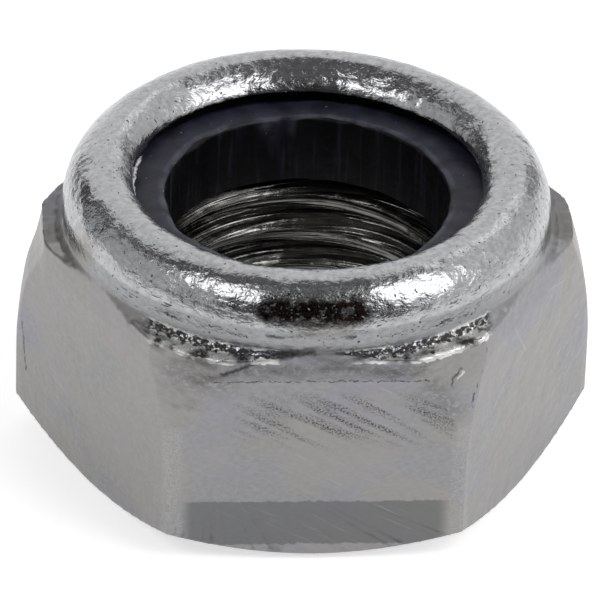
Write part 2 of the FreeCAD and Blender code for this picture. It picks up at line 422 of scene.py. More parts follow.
def on_ring(bearing: float, radius: float, height: float) -> Place:
    """A place on the collar. The bearing turns from -Y to +X, in degrees."""
    turn = math.radians(bearing)
    return radius * math.sin(turn), -radius * math.cos(turn), height


def trail(places: list[Place], width: float) -> tuple[Stroke, ...]:
    """Join places by strokes, end to end."""
    return tuple(Stroke(start, end, width) for start, end in zip(places, places[1:]))


def combined(
    tree: bpy.types.NodeTree, operation: str, *amounts: bpy.types.NodeSocket | float
) -> bpy.types.NodeSocket:
    """Combine several amounts in a material, two at a time.

    Args:
        tree: the material's nodes.
        operation: what is done with each two, such as MULTIPLY or MAXIMUM.
        *amounts: the amounts, the first of them a socket.

    Returns:
        The combined amount.
    """
    total = amounts[0]
    for amount in amounts[1:]:
        total = add_node(tree, "ShaderNodeMath", {0: total, 1: amount}, operation=operation).outputs[0]
    return total


def product(tree: bpy.types.NodeTree, *amounts: bpy.types.NodeSocket | float) -> bpy.types.NodeSocket:
    """Multiply several amounts, which keeps what all of them share."""
    return combined(tree, "MULTIPLY", *amounts)


def largest(tree: bpy.types.NodeTree, *amounts: bpy.types.NodeSocket) -> bpy.types.NodeSocket:
    """Take the largest of several amounts, which joins them."""
    return combined(tree, "MAXIMUM", *amounts)


def joined(
    tree: bpy.types.NodeTree, strokes: tuple[Stroke, ...], place: bpy.types.NodeSocket
) -> bpy.types.NodeSocket:
    """Join strokes to one amount, 1 on any of them."""
    return largest(tree, *[stroke.add(tree, place) for stroke in strokes])


def lay_colours(
    tree: bpy.types.NodeTree, base: str, layers: tuple[tuple[bpy.types.NodeSocket, str], ...]
) -> bpy.types.NodeSocket:
    """Lay colours over a base colour, the first of them lowest.

    Args:
        tree: the material's nodes.
        base: the base colour's hex code.
        layers: for each layer, how far it covers and its colour's hex code.

    Returns:
        The colour that shows.
    """
    colour = linear(base)
    for amount, code in layers:
        colour = add_node(
            tree, "ShaderNodeMix", {"Factor": amount, 6: colour, 7: linear(code)}, data_type="RGBA",
            clamp_factor=True,
        ).outputs[2]
    return colour


# Finishes


@dataclass(frozen=True)
class ZincPlating:
    """Electroplated zinc over cold-forged steel: a cool, fine-grained grey metal.

    The flats, pressed by the die, are satin, with a darker band at the foot where the die drew
    them. The collar, rolled over by a tool, is brighter and shows the studio in broken bands,
    because the rolling left an orange peel, pits and short ticks on it. Cracks and worn patches
    are dark, since dirt keeps to them. Shade is painted in smears on the front flat, on the
    shelves under the collar, inside the lip and in the bore, a dark reflection is painted on the
    front of the collar, and highlights are painted along the shelf's edges, on the corners and
    in small glints. The front of the lip's top is drawn darker in stippled strokes. The
    plating's own grain is too fine to show, so it is drawn a tenth of a millimetre wide.
    """

    name: str = "zinc_plated_steel"
    # Colours
    plating: str = "919192"
    shade: str = "88888a"
    rolled: str = "b2b3b5"
    rolled_shade: str = "999a9c"
    warm_tint: str = "97938a"
    cool_tint: str = "8c8b96"
    # Darker grey of the drawn band at the foot, also used for the painted shade smears and the neck
    drawn_band_and_shade: str = "6a6b6c"
    # Bright metal at chips, rubs and scuffs, and the colour of the painted highlights and glints
    bright: str = "d8d8d6"
    # Warmer tone of the bore, where shade is painted
    bore_shade: str = "8b8a87"
    stain: str = "6e665b"
    # Colour of the painted dark reflection on the front of the collar
    dark_reflection_colour: str = "2a1f1a"
    # Dark of the dirt in cracks, pits and worn patches, also used for painted shade and painted dark
    # reflections
    dirt_and_shade: str = "1d1c1b"
    # How sharply each part mirrors the studio
    flat_roughness: float = 0.38
    collar_roughness: float = 0.24
    bore_roughness: float = 0.24
    dirt_and_shade_roughness: float = 0.6
    # How far a layer covers what lies under it
    cool_share: float = 0.45
    warm_share: float = 0.35
    band_share: float = 0.85
    rolled_shade_share: float = 0.8
    shade_smear_share: float = 0.6
    neck_share: float = 0.5
    corner_highlight_share: float = 0.12
    scuff_share: float = 0.1
    turning_shade_share: float = 0.85
    stain_share: float = 0.6
    dirt_and_shade_share: float = 0.85
    sunk_share: float = 0.8
    # Painted shade on the side shelves under the collar
    side_shelf_shade_share: float = 0.35
    rub_share: float = 0.2
    painted_glint_share: float = 0.45
    dark_reflection_gain: float = 2.0
    front_lip_dark_gain: float = 1.4
    # How deep a relief goes, in millimetres
    swell_relief: float = 0.06
    peel_relief: float = 0.013
    grain_relief: float = 0.0035
    turning_relief: float = 0.03
    sunk_relief: float = 0.03
    # Patterns, by the size of one patch in millimetres
    mottle: Mottling = Mottling((0.3, 0.3, 0.2), 0.3, 0.7, 3.0)
    tint: Mottling = Mottling((4.0, 4.0, 3.0), 0.42, 0.62, 3.0)
    warmth: Mottling = Mottling((6.0, 6.0, 4.0), 0.45, 0.55, 2.0)
    swell: Mottling = Mottling((1.7, 1.7, 1.3), 0.2, 0.8, 2.0)
    peel: Mottling = Mottling((0.3, 0.3, 0.2), 0.25, 0.75, 2.0)
    grain: Mottling = Mottling((0.1, 0.1, 0.08), 0.25, 0.75, 2.0)
    ticks: Mottling = Mottling((0.6, 0.6, 0.08), 0.68, 0.75, 0.0)
    ticked: Mottling = Mottling((2.4, 2.4, 1.2), 0.56, 0.64, 1.0)
    scuffs: Mottling = Mottling((2.2, 2.2, 0.09), 0.7, 0.8, 0.0, 28.0)
    pits: Mottling = Mottling((0.17, 0.17, 0.17), 0.76, 0.84, 0.0)
    stipple: Mottling = Mottling((0.1, 0.1, 0.09), 0.4, 0.64, 2.0)
    # Breaks up the painted highlights along the shelf's edges
    highlight_breakup: Mottling = Mottling((1.2, 1.2, 2.0), 0.36, 0.54, 3.0)
    # Speckles that carry the painted shade on the shelf and in the shade smears
    shade_speckles: Mottling = Mottling((0.22, 0.22, 0.14), 0.36, 0.5, 2.0)
    painted_glints: Mottling = Mottling((0.16, 0.16, 0.12), 0.58, 0.72, 3.0)
    dark_reflection_grain: Mottling = Mottling((0.55, 0.55, 0.4), 0.3, 0.52, 4.0)
    abrasion: Mottling = Mottling((3.4, 3.4, 0.34), 0.4, 0.64, 3.0, 28.0)
    turnings: Mottling = Mottling((7.0, 7.0, 0.16), 0.42, 0.6, 2.0)
    # How far strokes and edges stray, and over what length
    jitter: float = 0.34
    jitter_grain: float = 0.3
    jitter_detail: float = 3.0
    # Areas, by height, by radius or along X or Y
    collar: Zone = Zone(12.1, 20.0, 0.5)
    bore: Zone = Zone(0.0, 8.15, 0.15)
    bore_heights: Zone = Zone(-1.0, 9.6, 0.2)
    band: Zone = Zone(1.0, 3.35, 0.1)
    lens_span: Zone = Zone(-7.7, 7.9, 0.4)
    side_lens: Zone = Zone(-1.6, 20.0, 0.4)
    neck: Zone = Zone(11.9, 12.55, 0.25)
    # Painted highlights along the lower and the upper edge of the shelf
    ridge: Zone = Zone(11.1, 11.32, 0.05)
    upper_edge_highlight: Zone = Zone(11.64, 11.72, 0.05)
    # Painted shade: the inside of the lip, over the gap to the ring, drawn nearly black
    lip_wall_shade: Zone = Zone(0.0, 8.6, 0.1)
    lip_wall_shade_heights: Zone = Zone(12.9, 13.46, 0.08)
    lip_wall_shade_span: Zone = Zone(-7.4, 20.0, 0.2)
    inside_corner: Zone = Zone(0.0, 13.3, 0.3)
    corner: Zone = Zone(13.62, 20.0, 0.12)
    corner_top: Zone = Zone(12.0, 20.0, 0.1)
    shelf: Zone = Zone(11.1, 11.85, 0.1)
    facing_up: Zone = Zone(0.6, 2.0, 0.3)
    wear_heights: Zone = Zone(7.7, 8.3, 1.7)
    wear_span: Zone = Zone(-1.5, 4.5, 3.6)
    front_flat: Zone = Zone(-13.0, -11.93, 0.05)
    # Marks, where they lie on the nut
    cracks: tuple[Stroke, ...] = (
        *trail([(-4.55, -11.94, 10.53), (-3.07, -11.83, 11.11), (-0.29, -11.68, 11.66)], 0.15),
        *trail([(-13.54, -0.55, 6.07), (-13.34, -0.89, 3.4)], 0.07),
        *trail([(-4.9, -12.0, 10.2), (5.1, -12.0, 10.2)], 0.05),
        *trail([(7.9, -10.1, 10.7), (7.2, -11.3, 8.5), (7.1, -11.4, 5.5)], 0.07),
        *trail([(6.1, -11.6, 9.0), (6.25, -11.5, 10.0), (6.7, -11.2, 10.3)], 0.09),
        *trail([on_ring(-50, 11.4, 13.43), on_ring(-37, 11.44, 13.35), on_ring(-26, 11.48, 13.23)], 0.08),
        *trail([on_ring(-26, 11.48, 13.23), on_ring(-16, 11.54, 13.06)], 0.08),
        *trail([on_ring(21, 11.42, 13.37), on_ring(35, 11.55, 13.02)], 0.09),
        *trail([on_ring(-12, 11.62, 12.32), on_ring(8, 11.62, 12.36)], 0.14),
    )
    chips: tuple[Stroke, ...] = (
        *trail([(6.45, -11.4, 9.9), (6.7, -11.15, 10.1)], 0.1),
    )
    rubs: tuple[Stroke, ...] = (
        *trail([(9.5, -7.55, 9.9), (10.14, -6.44, 8.11)], 0.08),
        *trail([(11.5, -4.09, 9.6), (8.45, -9.36, 6.81)], 0.07),
    )
    # Painted dark reflection across the front of the collar
    front_collar_dark_reflection: tuple[Stroke, ...] = (
        *trail([on_ring(-12, 11.3, 13.5), on_ring(9, 11.3, 13.54)], 0.82),
    )
    # Darker stippled strokes across the front of the lip's top
    front_lip_dark_strokes: tuple[Stroke, ...] = (
        *trail([on_ring(-13, 10.95, 14.12), on_ring(10, 10.95, 14.12)], 0.55),
    )
    # Painted shade on the front flat below the shelf
    shade_smears: tuple[Stroke, ...] = (
        *trail([(-7.0, -11.4, 10.3), (-4.4, -12.0, 10.0)], 0.9),
        *trail([(5.2, -12.0, 9.8), (6.4, -11.8, 8.4)], 0.9),
        *trail([(-4.2, -11.9, 10.75), (4.8, -11.9, 10.75)], 0.5),
    )
    stains: tuple[Stroke, ...] = (
        *trail([on_ring(-72, 11.6, 12.5), on_ring(-66, 11.6, 12.7)], 1.0),
        *trail([on_ring(-4, 11.6, 12.9), on_ring(6, 11.6, 12.9)], 0.6),
    )

    def material(self) -> bpy.types.Material:
        """Build the plating's material, on Object coordinates.

        Returns:
            The material.
        """
        made = bpy.data.materials.new(self.name)
        made.use_nodes = True
        tree = made.node_tree
        spot = Spot.on_piece(tree)
        ragged = self.ragged(spot)
        areas = self.areas(spot, ragged)
        marks = self.marks(spot, ragged, areas)
        shader = tree.nodes["Principled BSDF"]
        tree.links.new(self.colour(spot, areas, marks), shader.inputs["Base Color"])
        tree.links.new(self.roughness(tree, areas, marks), shader.inputs["Roughness"])
        tree.links.new(self.normal(spot, areas, marks), shader.inputs["Normal"])
        shader.inputs["Metallic"].default_value = 1.0
        return made

    def ragged(self, spot: Spot) -> bpy.types.NodeSocket:
        """Shift each place a little at random, so that strokes and edges come out ragged.

        Args:
            spot: where the point lies.

        Returns:
            The shifted place in millimetres.
        """
        tree = spot.tree
        noise = add_node(
            tree, "ShaderNodeTexNoise",
            {"Vector": spot.place, "Scale": 1 / self.jitter_grain, "Detail": self.jitter_detail},
        ).outputs["Color"]
        centred = add_node(
            tree, "ShaderNodeVectorMath", {0: noise, 1: (0.5, 0.5, 0.5)}, operation="SUBTRACT"
        ).outputs[0]
        shift = add_node(
            tree, "ShaderNodeVectorMath", {0: centred, "Scale": self.jitter}, operation="SCALE"
        ).outputs[0]
        return add_node(tree, "ShaderNodeVectorMath", {0: spot.place, 1: shift}, operation="ADD").outputs[0]

    def areas(self, spot: Spot, ragged: bpy.types.NodeSocket) -> Amounts:
        """Tell the areas of the forging apart, by where they lie and how they face.

        Args:
            spot: where the point lies.
            ragged: the place with its random shift.

        Returns:
            For each area, 1 inside it and 0 outside.
        """
        tree = spot.tree
        facing = add_node(tree, "ShaderNodeNewGeometry").outputs["True Normal"]
        slope = add_node(tree, "ShaderNodeSeparateXYZ", {0: facing}).outputs["Z"]
        upward = self.facing_up.add(tree, slope)
        upright = add_node(tree, "ShaderNodeMath", {0: 1.0, 1: upward}, operation="SUBTRACT").outputs[0]
        ragged_height = add_node(tree, "ShaderNodeSeparateXYZ", {0: ragged}).outputs["Z"]
        collar = self.collar.add(tree, spot.height)
        front = self.front_flat.add(tree, spot.inward)
        lens = self.lens_span.add(tree, spot.across)
        ledge = product(tree, self.shelf.add(tree, spot.height), upward)
        shelf = product(tree, ledge, lens)
        return {
            "collar": collar,
            "collar_side": product(tree, collar, upright),
            "rolled": largest(tree, collar, shelf),
            "neck": self.neck.add(tree, spot.height),
            "shelf": shelf,
            "side_shelf": product(tree, ledge, self.side_lens.add(tree, spot.inward)),
            "corner": self.corner.add(tree, spot.radius),
            "bore": product(
                tree, self.bore.add(tree, spot.radius), self.bore_heights.add(tree, spot.height)
            ),
            "band": product(
                tree, self.band.add(tree, ragged_height), self.inside_corner.add(tree, spot.radius), front
            ),
            "worn_flat": product(
                tree, self.wear_heights.add(tree, spot.height), self.wear_span.add(tree, spot.across), front
            ),
            # Painted highlights along the shelf's edges
            "ridge": product(
                tree, self.ridge.add(tree, ragged_height), self.corner_top.add(tree, spot.radius), lens
            ),
            "upper_edge_highlight": product(tree, self.upper_edge_highlight.add(tree, ragged_height), shelf),
            # Painted shade on the inside of the lip
            "lip_wall_shade": product(
                tree, self.lip_wall_shade.add(tree, spot.radius), self.lip_wall_shade_heights.add(tree, spot.height),
                self.lip_wall_shade_span.add(tree, spot.across),
            ),
        }

    def marks(self, spot: Spot, ragged: bpy.types.NodeSocket, areas: Amounts) -> Amounts:
        """Work out what forging, rolling and use left on the areas, and where shade, a dark reflection and
        highlights are painted.

        Args:
            spot: where the point lies.
            ragged: the place with its random shift.
            areas: the areas of the forging.

        Returns:
            For each kind of mark, how much of it shows.
        """
        tree, place = spot.tree, spot.place
        stipple = self.stipple.add(tree, place)
        highlight_breakup = self.highlight_breakup.add(tree, place)
        shade_speckles = self.shade_speckles.add(tree, place)
        ticks = product(tree, self.ticks.add(tree, place), self.ticked.add(tree, place), areas["collar_side"])
        pits = product(tree, self.pits.add(tree, place), areas["collar"])
        sunk = largest(tree, ticks, pits)
        # Painted dark reflection on the front of the collar, broken up
        front_collar_dark_reflection = product(
            tree, joined(tree, self.front_collar_dark_reflection, ragged), self.dark_reflection_gain, self.dark_reflection_grain.add(tree, ragged)
        )
        # Where painted glints fleck the shelf and the collar's dark front
        glint_areas = largest(tree, areas["shelf"], front_collar_dark_reflection)
        return {
            "stipple": stipple,
            "sunk": sunk,
            "front_collar_dark_reflection": front_collar_dark_reflection,
            # Painted shade on the front flat below the shelf, in speckles
            "shade_smears": product(tree, joined(tree, self.shade_smears, ragged), shade_speckles),
            "stains": joined(tree, self.stains, ragged),
            # Real dirt and wear, mixed with painted shade on the shelves and a painted dark reflection on the
            # collar
            "dirt_and_shade": largest(
                tree,
                product(tree, areas["worn_flat"], self.abrasion.add(tree, place), stipple),
                product(tree, sunk, self.sunk_share),
                joined(tree, self.cracks, ragged),
                # Painted shade: the front shelf under the collar darkened in speckles, the side shelves
                # evenly
                product(tree, areas["shelf"], shade_speckles),
                product(tree, areas["side_shelf"], self.side_shelf_shade_share),
                product(tree, front_collar_dark_reflection, stipple),
                # Darker stippled strokes across the front of the lip's top
                product(tree, joined(tree, self.front_lip_dark_strokes, ragged), stipple, self.front_lip_dark_gain),
            ),
            # Real bright metal at chips and rubs, with painted highlights and glints
            "bright": largest(
                tree,
                joined(tree, self.chips, ragged),
                # Painted highlights along the shelf's edges, broken up
                product(tree, areas["ridge"], highlight_breakup),
                product(tree, areas["upper_edge_highlight"], highlight_breakup),
                product(tree, joined(tree, self.rubs, ragged), self.rub_share),
                # Painted glints on the shelf and the collar's dark front
                product(tree, self.painted_glints.add(tree, place), glint_areas, self.painted_glint_share),
            ),
        }

    def colour(self, spot: Spot, areas: Amounts, marks: Amounts) -> bpy.types.NodeSocket:
        """Lay tints, dirt, bright metal, painted shade, a painted dark reflection and painted highlights over
        the plating.

        Args:
            spot: where the point lies.
            areas: the areas of the forging.
            marks: what shows on them.

        Returns:
            The colour.
        """
        tree, place = spot.tree, spot.place
        mottle = self.mottle.add(tree, place)
        tint = self.tint.add(tree, place)
        scuffs = self.scuffs.add(tree, place)
        turnings = self.turnings.add(tree, place)
        return lay_colours(tree, self.shade, (
            (mottle, self.plating),
            (product(tree, tint, self.cool_share), self.cool_tint),
            (product(tree, self.warmth.add(tree, place), self.warm_share), self.warm_tint),
            (product(tree, areas["band"], self.band_share), self.drawn_band_and_shade),
            (areas["collar"], self.rolled),
            (product(tree, areas["collar"], mottle, self.rolled_shade_share), self.rolled_shade),
            # Painted shade on the front flat below the shelf
            (product(tree, marks["shade_smears"], self.shade_smear_share), self.drawn_band_and_shade),
            # The neck is drawn darker all round
            (product(tree, areas["neck"], self.neck_share), self.drawn_band_and_shade),
            # Painted highlight, stippled, on the rounded corners
            (product(tree, areas["corner"], marks["stipple"], self.corner_highlight_share), self.bright),
            (product(tree, scuffs, tint, self.scuff_share), self.bright),
            # Painted shade in the bore: a warmer tone, with dark bands along the real turning marks
            (areas["bore"], self.bore_shade),
            (product(tree, areas["bore"], turnings, self.turning_shade_share), self.dirt_and_shade),
            (product(tree, marks["stains"], self.stain_share), self.stain),
            # Painted dark reflection on the front of the collar
            (marks["front_collar_dark_reflection"], self.dark_reflection_colour),
            (product(tree, marks["dirt_and_shade"], self.dirt_and_shade_share), self.dirt_and_shade),
            # Painted shade: the inside of the lip in the darkest colour
            (areas["lip_wall_shade"], self.dirt_and_shade),
            (marks["bright"], self.bright),
        ))

    def roughness(self, tree: bpy.types.NodeTree, areas: Amounts, marks: Amounts) -> bpy.types.NodeSocket:
        """Polish what was rolled or cut, and dull the dirt and the painted shade.

        Args:
            tree: the material's nodes.
            areas: the areas of the forging.
            marks: what shows on them.

        Returns:
            The roughness.
        """
        roughness = self.flat_roughness
        for amount, value in (
            (areas["rolled"], self.collar_roughness),
            (areas["bore"], self.bore_roughness),
            (marks["dirt_and_shade"], self.dirt_and_shade_roughness),
        ):
            roughness = add_node(
                tree, "ShaderNodeMix", {"Factor": amount, 2: roughness, 3: value}, data_type="FLOAT"
            ).outputs[0]
        return roughness

    def normal(self, spot: Spot, areas: Amounts, marks: Amounts) -> bpy.types.NodeSocket:
        """Stack the reliefs, from the die's long swells to the ticks and pits.

        Args:
            spot: where the point lies.
            areas: the areas of the forging.
            marks: what shows on them.

        Returns:
            The normal.
        """
        tree, place = spot.tree, spot.place
        level = add_node(
            tree, "ShaderNodeMath", {0: 1.0, 1: marks["sunk"]}, operation="SUBTRACT"
        ).outputs[0]
        reliefs = (
            (self.swell.add(tree, place), self.swell_relief, 1.0),
            (self.peel.add(tree, place), self.peel_relief, areas["rolled"]),
            (self.grain.add(tree, place), self.grain_relief, 1.0),
            (self.turnings.add(tree, place), self.turning_relief, areas["bore"]),
            (level, self.sunk_relief, 1.0),
        )
        normal = None
        for height, relief, share in reliefs:
            inputs = {"Height": height, "Distance": relief * MM, "Strength": share}
            if normal:
                inputs["Normal"] = normal
            normal = add_node(tree, "ShaderNodeBump", inputs).outputs[0]
        return normal


@dataclass(frozen=True)
class MouldedPolyamide:
    """Injection-moulded polyamide 6.6, coloured bluish black: a dull sheen with pale specks, painted shade in
    the bore and a painted highlight along the inner edge.
    """

    name: str = "moulded_polyamide"
    body: str = "1f1f2a"
    worn: str = "3b3b4d"
    # Painted highlight along the ring's rounded inner edge
    inner_edge_highlight: str = "4a4a55"
    # Painted shade: the ring's bore drawn near black
    bore_wall_shade: str = "030305"
    speck: str = "a9aab2"
    roughness: float = 0.42
    gloss: float = 0.18
    patches: Mottling = Mottling((1.2, 1.2, 1.2), 0.35, 0.7, 3.0)
    specks: Mottling = Mottling((0.13, 0.13, 0.13), 0.83, 0.87, 0.0)
    inner_edge: Zone = Zone(6.85, 6.98, 0.22)
    bore_wall: Zone = Zone(0.0, 6.78, 0.05)
    streaks: Mottling = Mottling((0.35, 0.35, 5.0), 0.5, 0.75, 2.0)
    ripple: Mottling = Mottling((0.5, 0.5, 0.5), 0.2, 0.8, 3.0)
    ripple_relief: float = 0.012
    patch_share: float = 0.5
    speck_share: float = 0.6
    bore_wall_shade_share: float = 0.95
    streak_share: float = 0.4

    def material(self) -> bpy.types.Material:
        """Build the plastic's material, on Object coordinates.

        Returns:
            The material.
        """
        made = bpy.data.materials.new(self.name)
        made.use_nodes = True
        tree = made.node_tree
        spot = Spot.on_piece(tree)
        place = spot.place
        bore_wall_shade = self.bore_wall.add(tree, spot.radius)
        patches = self.patches.add(tree, place)
        colour = lay_colours(tree, self.body, (
            (product(tree, patches, self.patch_share), self.worn),
            # Painted highlight along the ring's rounded inner edge, in patches
            (product(tree, self.inner_edge.add(tree, spot.radius), patches), self.inner_edge_highlight),
            (product(tree, self.specks.add(tree, place), self.speck_share), self.speck),
            # Painted shade in the ring's bore
            (product(tree, bore_wall_shade, self.bore_wall_shade_share), self.bore_wall_shade),
            (product(tree, self.streaks.add(tree, place), bore_wall_shade, self.streak_share), self.worn),
        ))
        ripple = add_node(
            tree, "ShaderNodeBump",
            {"Height": self.ripple.add(tree, place), "Distance": self.ripple_relief * MM, "Strength": 1.0},
        ).outputs[0]
        shader = tree.nodes["Principled BSDF"]
        tree.links.new(colour, shader.inputs["Base Color"])
        tree.links.new(ripple, shader.inputs["Normal"])
        shader.inputs["Roughness"].default_value = self.roughness
        shader.inputs["Specular IOR Level"].default_value = self.gloss
        return made


# The nut


@dataclass(frozen=True)
class Unevenness:
    """A zone of a piece whose surface came out uneven, between two radii and two heights."""

    name: str
    radii: Span
    heights: Span
    fade: float
    grain: float
    relief: float

    def weight(self, place: Vector) -> float:
        """How much the zone acts at a place.

        Args:
            place: the place in millimetres.

        Returns:
            0 outside the zone, rising to 1 inside.
        """
        radius = math.hypot(place.x, place.y)
        amount = 1.0
        for value, (low, high) in ((radius, self.radii), (place.z, self.heights)):
            amount *= smooth_step(value, low - self.fade, low) * smooth_step(value, high + self.fade, high)
        return amount

    def shape(self, piece: bpy.types.Object) -> None:
        """Raise and sink the zone on a piece."""
        mark_places(piece, self.name, self.weight)
        roughen(piece, self.name, self.grain, self.relief)


@dataclass
class ForgedNut:
    """The one-piece steel nut: hexagon, corner shelves, neck, collar, rolled lip and thread."""

    # Hexagon and foot
    flat_reach: float = 12.0
    corner_rounding: float = 0.56
    corner_stock: float = 0.04
    foot_radius: float = 11.4
    foot_angle: float = 32.0
    crown_start: float = 4.0
    crown_radius: float = 24.5
    # Shelf, neck and collar
    crease_height: float = 10.2
    collar_radius: float = 11.62
    bulge_height: float = 12.45
    neck_top: float = 12.03
    neck_gap: float = 0.04
    neck_foot: float = 11.65
    neck_foot_radius: float = 11.69
    shelf_height: float = 11.3
    shelf_hollow: float = 0.35
    # Rolled lip
    lip_centre: Point = (9.7, 13.15)
    lip_rounding: float = 1.5
    lip_roll: float = 152.0
    edge_rounding: float = 0.25
    edge_foot: float = 13.34
    edge_bevel: float = 0.3
    lip_underside: float = 13.0
    # Burr under the lip
    burr_place: Point = (8.36, 13.5)
    burr_centre: Place = (0.0, -0.5, 0.0)
    burr_bearings: Span = (-106.0, -82.0)
    burr_thickness: float = 0.1
    burr_sides: int = 8
    burr_steps: int = 48
    curl: Unevenness = Unevenness("curl", (0.0, 20.0), (0.0, 20.0), 0.1, 0.5, 0.3)
    # Harder roll at the back, from where it starts to where it is full
    roll_in: float = 0.3
    roll_down: float = 0.3
    rolled_radii: Span = (9.55, 8.7)
    rolled_heights: Span = (13.05, 13.4)
    rolled_inward: Span = (1.0, 7.5)
    # Knock on the left corner, from where it starts to where it is full
    knock: float = 0.42
    knock_reach: Span = (12.3, 13.5)
    knock_width: Span = (3.0, 1.5)
    knock_foot: Span = (8.6, 11.0)
    knock_top: Span = (12.0, 11.6)
    # Recess and bore
    recess_radius: float = 9.9
    seat_height: float = 9.3
    seat_countersink: float = 1.1
    bore_radius: float = 6.92
    foot_countersink: float = 1.38
    # Thread
    thread_radius: float = 8.0
    thread_pitch: float = 2.0
    thread_start: float = -1.464
    thread_turns: int = 6
    thread_steps: int = 96
    flank_angle: float = 30.0
    tap_overlap: float = 0.17
    # Fineness of the mesh
    turn_steps: int = 240
    crown_steps: int = 12
    shoulder_steps: int = 24
    lip_steps: int = 16
    edge_steps: int = 10
    corner_steps: int = 6
    skin: float = 0.125
    kept_share: float = 0.4
    # Surface
    unevenness: tuple[Unevenness, ...] = (
        Unevenness("rolled_collar", (8.0, 13.0), (12.3, 16.0), 0.3, 1.6, 0.1),
        Unevenness("rolled_edge", (8.0, 8.9), (13.2, 14.5), 0.2, 0.6, 0.07),
        Unevenness("sheared_shelf", (11.95, 13.0), (11.2, 11.7), 0.15, 0.5, 0.14),
    )
    finish: ZincPlating = field(default_factory=ZincPlating)

    def corner_reach(self) -> float:
        """Radius of the round blank over the rounded corners."""
        centre = (self.flat_reach - self.corner_rounding) / math.cos(HALF_FLAT)
        return centre + self.corner_rounding + self.corner_stock

    def section(self) -> list[Point]:
        """The blank's section, from the bearing face up the outside and down the bore.

        Returns:
            The corners as (radius, height).
        """
        blank = self.corner_reach()
        chamfer = (blank - self.foot_radius) * math.tan(math.radians(self.foot_angle))
        crown_centre = (blank - self.crown_radius, self.crown_start)
        crown_end = math.degrees(math.asin((self.shelf_height - self.crown_start) / self.crown_radius))
        lip_across, lip_height = self.lip_centre
        reach = self.collar_radius - lip_across
        drop = lip_height - self.bulge_height
        shoulder = (reach ** 2 + drop ** 2 - self.lip_rounding ** 2) / (2 * (reach - self.lip_rounding))
        shoulder_centre = (self.collar_radius - shoulder, self.bulge_height)
        crest = math.degrees(math.atan2(drop, lip_across - shoulder_centre[0]))
        inset = self.lip_rounding - self.edge_rounding
        edge_centre = arc(self.lip_centre, inset, self.lip_roll, self.lip_roll, 1)[0]
        return [
            (self.foot_radius, 0.0),
            (blank, chamfer),
            *arc(crown_centre, self.crown_radius, 0, crown_end, self.crown_steps),
            (self.neck_foot_radius + self.shelf_hollow, self.shelf_height),
            (self.neck_foot_radius, self.neck_foot),
            (self.collar_radius, self.neck_top),
            *arc(shoulder_centre, shoulder, 0, crest, self.shoulder_steps),
            *arc(self.lip_centre, self.lip_rounding, crest, self.lip_roll, self.lip_steps)[1:],
            *arc(edge_centre, self.edge_rounding, self.lip_roll, 180, self.edge_steps)[1:],
            (edge_centre[0] - self.edge_rounding, self.edge_foot),
            (edge_centre[0] - self.edge_rounding + self.edge_bevel, self.lip_underside),
            (self.recess_radius, self.lip_underside),
            (self.recess_radius, self.seat_height),
            (self.bore_radius + self.seat_countersink, self.seat_height),
            (self.bore_radius, self.seat_height - self.seat_countersink),
            (self.bore_radius, self.foot_countersink),
            (self.bore_radius + self.foot_countersink, 0.0),
        ]

    def hexagon(self) -> bpy.types.Object:
        """The space inside the forging die: a hexagon that leans in above its crease.

        Returns:
            The space as a solid, wide open above the neck.
        """
        deselect_all()
        centre = (0, 0, 0)
        floor, clear, opening = -1.0, 20.0, 2.0
        bpy.ops.mesh.primitive_cylinder_add(
            vertices=6, radius=self.flat_reach / math.cos(HALF_FLAT), depth=self.crease_height - floor,
            location=(0, 0, (self.crease_height + floor) / 2), rotation=(0, 0, HALF_FLAT),
        )
        die = bpy.context.object
        die.name = "die"
        bpy.ops.object.transform_apply(location=True, rotation=True, scale=True)
        bpy.ops.object.mode_set(mode="EDIT")
        bpy.ops.mesh.select_all(action="DESELECT")
        mesh = bmesh.from_edit_mesh(die.data)
        top = max(mesh.faces, key=lambda face: face.calc_center_median().z)
        top.select = True
        bmesh.update_edit_mesh(die.data)
        lean = (self.collar_radius + self.neck_gap) / self.flat_reach
        bpy.ops.mesh.extrude_region_move(
            TRANSFORM_OT_translate={"value": (0, 0, self.neck_top - self.crease_height)}
        )
        bpy.ops.transform.resize(value=(lean, lean, 1), center_override=centre)
        bpy.ops.mesh.extrude_region_move(TRANSFORM_OT_translate={"value": (0, 0, 0)})
        bpy.ops.transform.resize(value=(opening, opening, 1), center_override=centre)
        bpy.ops.mesh.extrude_region_move(TRANSFORM_OT_translate={"value": (0, 0, clear - self.neck_top)})
        bpy.ops.mesh.select_all(action="DESELECT")
        mesh = bmesh.from_edit_mesh(die.data)
        for edge in mesh.edges:
            low, high = sorted(vertex.co.z for vertex in edge.verts)
            edge.select = low < 0 < high
        bmesh.update_edit_mesh(die.data)
        tangent = self.corner_rounding * math.tan(HALF_FLAT)
        bpy.ops.mesh.bevel(offset_type="OFFSET", offset=tangent, segments=self.corner_steps)
        bpy.ops.mesh.select_all(action="SELECT")
        bpy.ops.mesh.normals_make_consistent(inside=False)
        bpy.ops.object.mode_set(mode="OBJECT")
        return die

